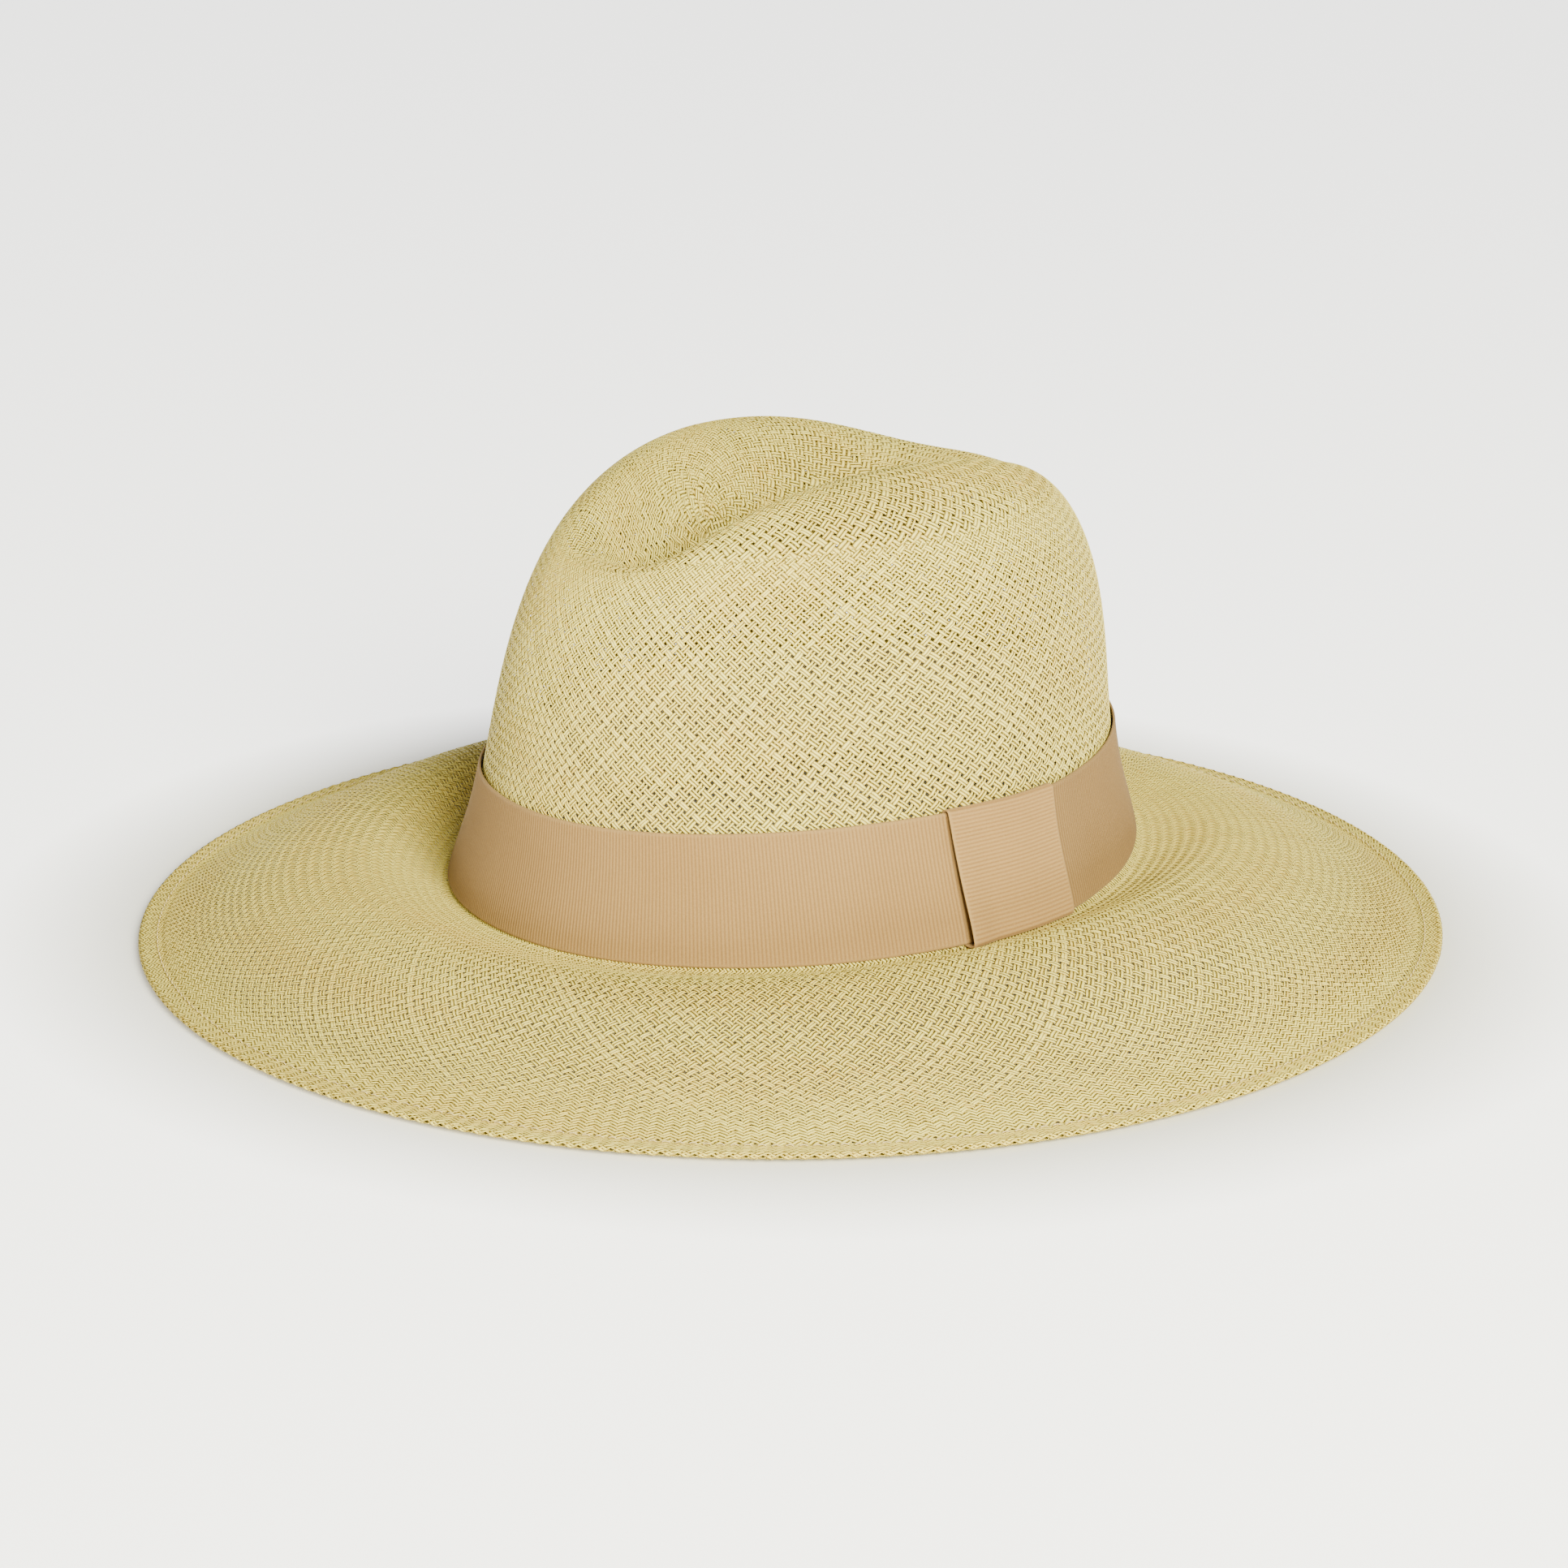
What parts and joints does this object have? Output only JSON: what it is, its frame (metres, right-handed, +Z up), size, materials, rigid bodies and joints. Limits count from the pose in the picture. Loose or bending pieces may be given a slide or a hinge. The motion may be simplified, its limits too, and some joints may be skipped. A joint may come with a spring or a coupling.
{
  "type": "panama hat",
  "caption": "Wide-brimmed woven straw panama hat with a creased teardrop crown, a drooping brim, a ribbed ribbon band with a flat keeper, and a sweatband.",
  "frame": {"origin": "middle of the hat's bounding box at the level of the brim's lower edge, which rests on the ground", "axes": "+Z up, the front of the hat towards -Y, the wearer's left towards +X"},
  "size_m": [0.345, 0.364, 0.132],
  "materials": {
    "straw": "toquilla straw woven in pairs, satin, natural cream",
    "wire": "drawn millinery wire",
    "thread": "matte cotton thread, straw coloured",
    "ribbon": "beige grosgrain with fine ribs",
    "sweatband": "cream cotton-faced band",
    "reed": "translucent plastic reed"
  },
  "bodies": {
    "root": {"straw_body": "straw", "brim_wire": "wire", "brim_stitching": "thread", "hat_ribbon": "ribbon", "ribbon_keeper": "ribbon", "ribbon_tack_right": "thread", "ribbon_tack_back": "thread", "sweatband": "sweatband", "sweatband_reed": "reed", "sweatband_stitching": "thread", "sweatband_seam_tape": "ribbon"}
  },
  "joints": []
}
